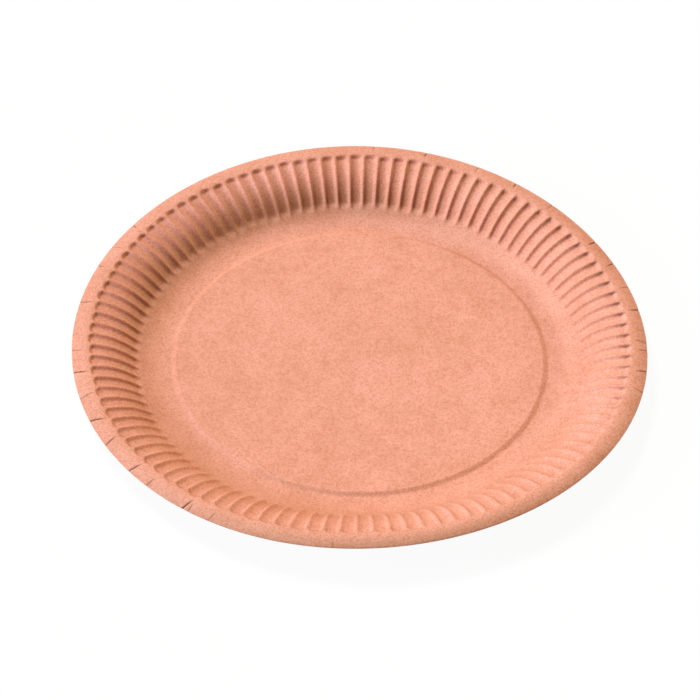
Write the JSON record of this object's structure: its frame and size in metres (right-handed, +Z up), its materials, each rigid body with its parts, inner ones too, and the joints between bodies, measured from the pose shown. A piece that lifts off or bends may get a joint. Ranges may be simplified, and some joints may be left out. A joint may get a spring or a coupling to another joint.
{
  "type": "paper plate",
  "caption": "Round disposable plate pressed from one disc of kraft paperboard, with a fluted wall, a rolled rim and a raised centre panel.",
  "frame": {"origin": "on the surface the plate stands on, under the middle of its bounding box", "axes": "+Z up along the axis of the plate, +X to the right and +Y away from the viewer of the picture"},
  "size_m": [0.23, 0.23, 0.0164],
  "materials": {
    "kraft_board": "matte"
  },
  "bodies": {
    "root": {"plate": "kraft_board"}
  },
  "joints": []
}
